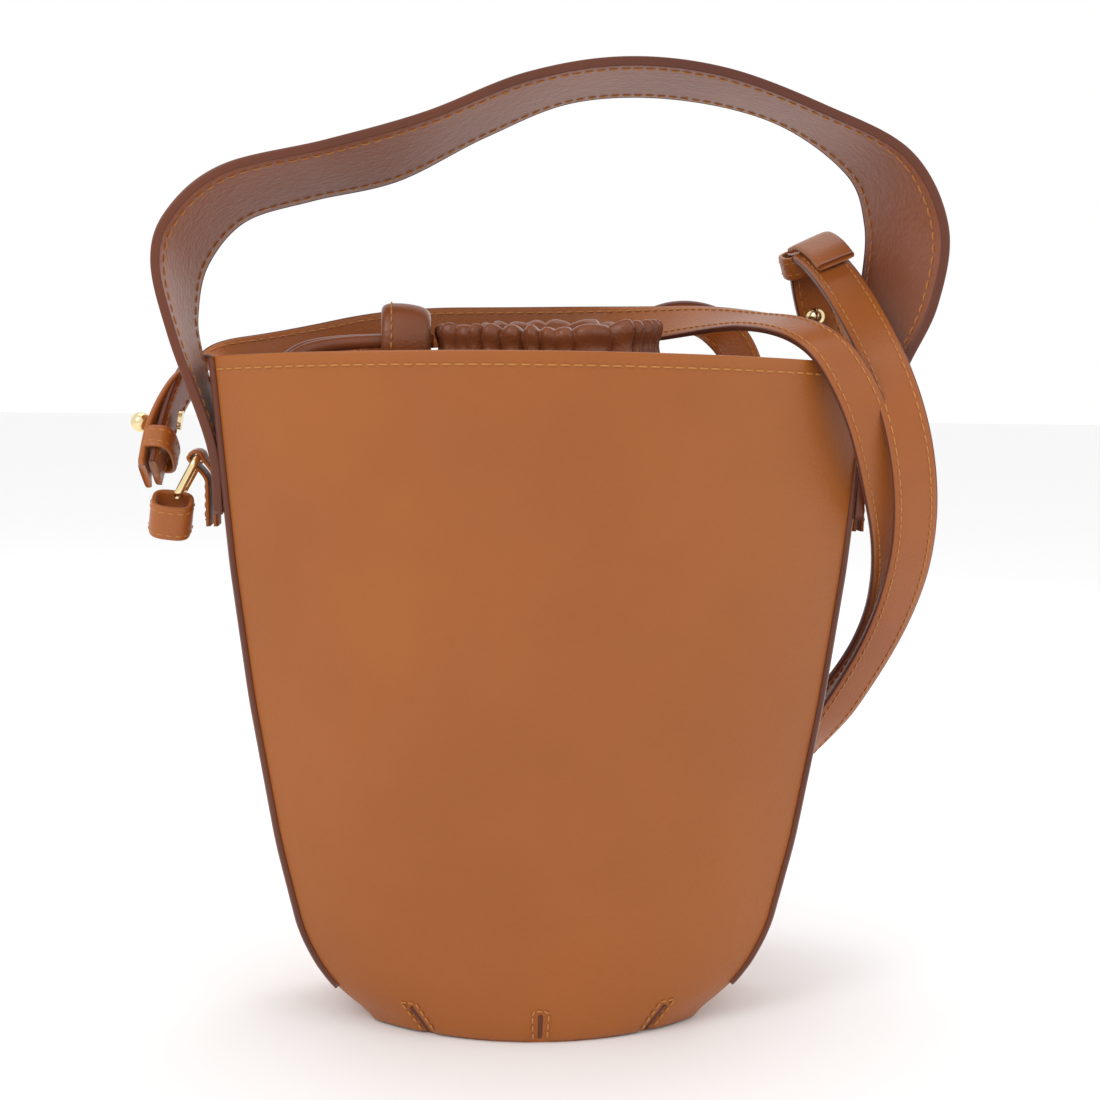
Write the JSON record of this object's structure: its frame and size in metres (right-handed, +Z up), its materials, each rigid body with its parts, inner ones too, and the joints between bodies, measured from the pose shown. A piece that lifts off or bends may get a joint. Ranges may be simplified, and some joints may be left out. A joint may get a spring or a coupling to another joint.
{
  "type": "bucket bag",
  "caption": "Soft leather bucket bag with a wavy wide hand strap, drawstring top with a sliding toggle, side rings and a long shoulder strap with stud fastenings.",
  "frame": {"origin": "centre of the flat base's underside", "axes": "+X across the bag's width to its right as seen from the front, +Y to the back, +Z up"},
  "size_m": [0.2651, 0.14, 0.312],
  "materials": {
    "tan_leather": "smooth tan calf leather with a soft sheen",
    "inner_leather": "slightly pinkish brown leather on the handle's inner face and the rim facing",
    "edge_binding": "dark brown painted and piped seam edges",
    "soft_leather": "thin soft leather gathered on the drawcords",
    "cord_leather": "round leather cord",
    "strap_leather": "strap leather with two lines of stitching",
    "lining_cloth": "plain woven cotton lining",
    "board": "stiff bonded board in the base",
    "gold_metal": "polished pale gold plating"
  },
  "bodies": {
    "bag": {"front_panel": "tan_leather", "back_panel": "tan_leather", "left_gusset": "tan_leather", "right_gusset": "tan_leather", "base_panel": "tan_leather", "base_board": "board", "body_lining": "lining_cloth", "rim_facing": "inner_leather", "left_front_binding": "edge_binding", "left_back_binding": "edge_binding", "right_front_binding": "edge_binding", "right_back_binding": "edge_binding", "handle_band": "tan_leather", "handle_lining": "inner_leather", "drawstring_skirt": "soft_leather", "drawstring_collar": "soft_leather", "front_drawcord": "cord_leather", "back_drawcord": "cord_leather", "front_knot": "cord_leather", "back_knot": "cord_leather", "left_ring_tab": "tan_leather", "right_ring_tab": "tan_leather", "shoulder_strap": "strap_leather", "right_strap_end": "strap_leather", "left_stud": "gold_metal", "right_stud": "gold_metal", "left_stud_screw": "gold_metal", "right_stud_screw": "gold_metal"},
    "toggle_slider": {"toggle": "soft_leather"},
    "left_ring_body": {"left_ring": "gold_metal", "left_strap_loop": "strap_leather"},
    "right_ring_body": {"right_ring": "gold_metal", "right_strap_loop": "strap_leather"},
    "left_keeper_slider": {"left_keeper": "strap_leather"},
    "right_keeper_slider": {"right_keeper": "strap_leather"}
  },
  "joints": [
    {"name": "toggle_slide", "type": "slide", "parent": "bag", "child": "toggle_slider", "axis": [-1, 0, 0], "range_m": [0, 0.009]},
    {"name": "left_ring_swing", "type": "hinge", "parent": "bag", "child": "left_ring_body", "pos_m": [-0.11125, 0, 0.183], "axis": [0, 1, 0], "range_deg": [-6, 6]},
    {"name": "right_ring_swing", "type": "hinge", "parent": "bag", "child": "right_ring_body", "pos_m": [0.11125, 0, 0.183], "axis": [0, 1, 0], "range_deg": [-6, 20]},
    {"name": "left_keeper_slide", "type": "slide", "parent": "bag", "child": "left_keeper_slider", "axis": [0.1129, 0.5806, 0.8063], "range_m": [0, 0.003]},
    {"name": "right_keeper_slide", "type": "slide", "parent": "bag", "child": "right_keeper_slider", "axis": [0.1469, 0.2572, -0.9551], "range_m": [0, 0.003]}
  ]
}
